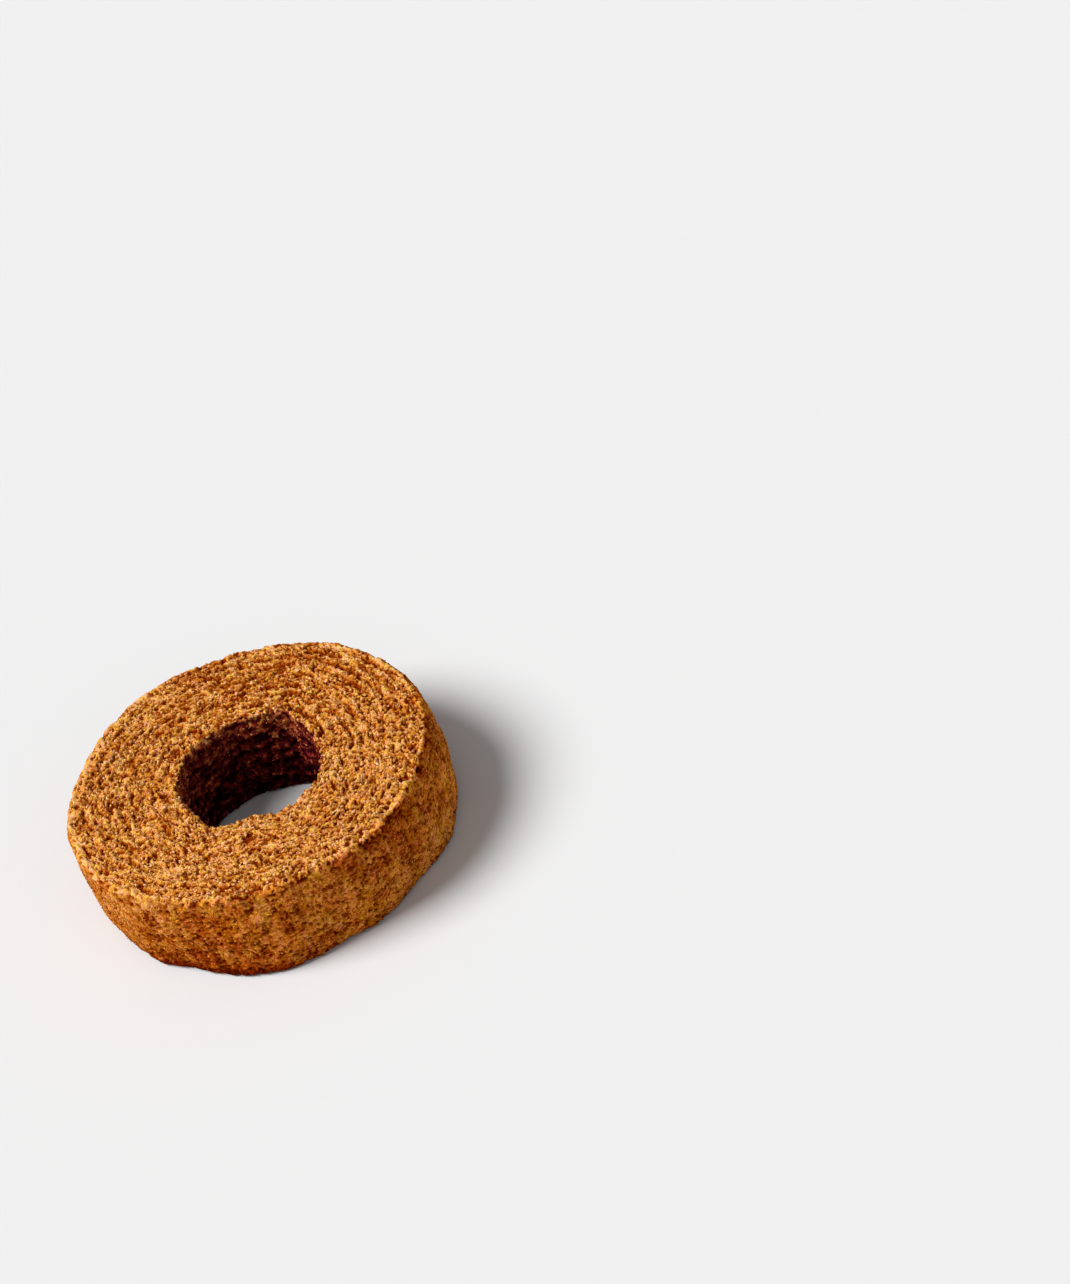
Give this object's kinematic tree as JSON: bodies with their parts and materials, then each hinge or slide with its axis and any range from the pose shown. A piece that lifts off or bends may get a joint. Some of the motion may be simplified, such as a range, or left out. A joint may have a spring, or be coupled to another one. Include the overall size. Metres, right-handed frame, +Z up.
{
  "type": "baumkuchen ring",
  "caption": "Flat ring of layered spit cake: thin concentric baked layers, coarse golden brown crumb and an uneven round hole.",
  "frame": {"origin": "middle of the ring's footprint, on the flat lower cut face it lies on", "axes": "+Z up through the hole, from the lower cut face to the upper one; -Y towards the viewer, +X to the viewer's right"},
  "size_m": [0.0742, 0.074, 0.0203],
  "materials": {
    "crumb": "matte"
  },
  "bodies": {
    "root": {"ring": "crumb"}
  },
  "joints": []
}
